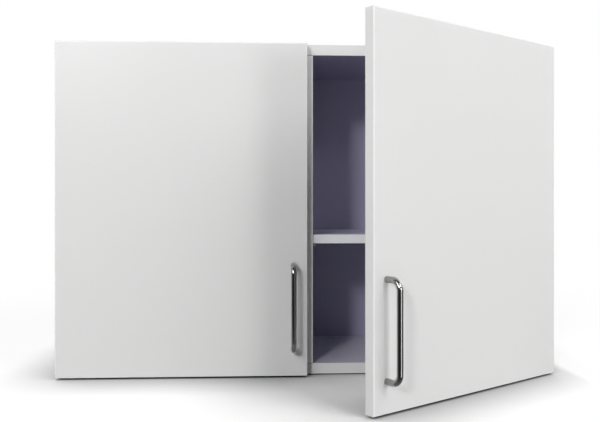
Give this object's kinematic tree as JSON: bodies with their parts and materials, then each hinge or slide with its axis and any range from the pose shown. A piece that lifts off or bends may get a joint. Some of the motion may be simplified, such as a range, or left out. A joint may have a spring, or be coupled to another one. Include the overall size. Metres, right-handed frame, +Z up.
{
  "type": "hanging wall cabinet",
  "caption": "Hanging wall cabinet with a divider, shelves on pins, hinged full overlay doors on concealed cup hinges, bow handles and wall hangers.",
  "frame": {"origin": "middle of the carcass's underside, half way across its width and half way through its depth without the doors", "axes": "+X to the viewer's right across the front, +Y towards the wall behind the cabinet, +Z up"},
  "size_m": [0.9007, 0.5603, 0.6],
  "materials": {
    "white_board": "white faced chipboard, satin",
    "white_edging": "white edge banding, satin",
    "back_board": "white faced board, matt",
    "handle_steel": "satin stainless steel",
    "nickel": "nickel plated steel",
    "zinc": "die-cast zinc, nickel plated",
    "screw_steel": "zinc plated steel",
    "beech": "grooved beech",
    "hanger_plastic": "moulded plastic, light grey white",
    "bumper": "translucent soft plastic"
  },
  "bodies": {
    "carcass": {"bottom_panel": "white_board", "top_panel": "white_board", "centre_divider": "white_board", "back_panel": "back_board", "carcass_edge_bands": "white_edging", "cam_housings": "zinc", "cam_bolts": "screw_steel", "wood_dowels": "beech", "right_side_panel": "white_board", "right_shelf": "white_board", "right_shelf_edge_band": "white_edging", "right_shelf_pins": "nickel", "right_hanger_housing": "hanger_plastic", "right_hanger_hook": "screw_steel", "right_hanger_screws": "screw_steel", "right_hinge_plates": "zinc", "right_plate_screws": "screw_steel", "right_hinge_arms": "nickel", "right_arm_screws": "screw_steel", "right_arm_pins": "screw_steel", "left_side_panel": "white_board", "left_shelf": "white_board", "left_shelf_edge_band": "white_edging", "left_shelf_pins": "nickel", "left_hanger_housing": "hanger_plastic", "left_hanger_hook": "screw_steel", "left_hanger_screws": "screw_steel", "left_hinge_plates": "zinc", "left_plate_screws": "screw_steel", "left_hinge_arms": "nickel", "left_arm_screws": "screw_steel", "left_arm_pins": "screw_steel"},
    "right_door": {"right_door_panel": "white_board", "right_door_edge_band": "white_edging", "right_handle": "handle_steel", "right_handle_screws": "screw_steel", "right_door_bumpers": "bumper", "right_hinge_cups": "zinc", "right_cup_screws": "screw_steel", "right_cup_pins": "screw_steel"},
    "right_outer_link_pair": {"right_outer_links": "nickel"},
    "right_inner_link_pair": {"right_inner_links": "nickel"},
    "left_door": {"left_door_panel": "white_board", "left_door_edge_band": "white_edging", "left_handle": "handle_steel", "left_handle_screws": "screw_steel", "left_door_bumpers": "bumper", "left_hinge_cups": "zinc", "left_cup_screws": "screw_steel", "left_cup_pins": "screw_steel"},
    "left_outer_link_pair": {"left_outer_links": "nickel"},
    "left_inner_link_pair": {"left_inner_links": "nickel"}
  },
  "joints": [
    {"name": "right_outer_link_turn", "type": "hinge", "parent": "carcass", "child": "right_outer_link_pair", "pos_m": [0.4169, -0.1248, 0.3], "axis": [0, 0, 1], "range_deg": [-19.23, 10.81]},
    {"name": "right_door_turn", "type": "hinge", "parent": "right_outer_link_pair", "child": "right_door", "pos_m": [0.43437, -0.14913, 0.3], "axis": [0, 0, 1], "range_deg": [-44.61, 80.03]},
    {"name": "right_inner_link_turn", "type": "hinge", "parent": "carcass", "child": "right_inner_link_pair", "pos_m": [0.404, -0.138, 0.3], "axis": [0, 0, 1], "range_deg": [-16, 9.01]},
    {"name": "left_outer_link_turn", "type": "hinge", "parent": "carcass", "child": "left_outer_link_pair", "pos_m": [-0.4169, -0.1248, 0.3], "axis": [0, 0, -1], "range_deg": [-29.84, 0.05]},
    {"name": "left_door_turn", "type": "hinge", "parent": "left_outer_link_pair", "child": "left_door", "pos_m": [-0.43855, -0.1455, 0.3], "axis": [0, 0, -1], "range_deg": [0, 124.64]},
    {"name": "left_inner_link_turn", "type": "hinge", "parent": "carcass", "child": "left_inner_link_pair", "pos_m": [-0.404, -0.138, 0.3], "axis": [0, 0, -1], "range_deg": [-24.8, 0.05]}
  ],
  "couplings": [
    {"joint": "right_outer_link_turn", "follows": "right_door_turn", "ratio": -0.2378},
    {"joint": "right_inner_link_turn", "follows": "right_door_turn", "ratio": -0.19741},
    {"joint": "left_outer_link_turn", "follows": "left_door_turn", "ratio": -0.2378},
    {"joint": "left_inner_link_turn", "follows": "left_door_turn", "ratio": -0.19741}
  ]
}
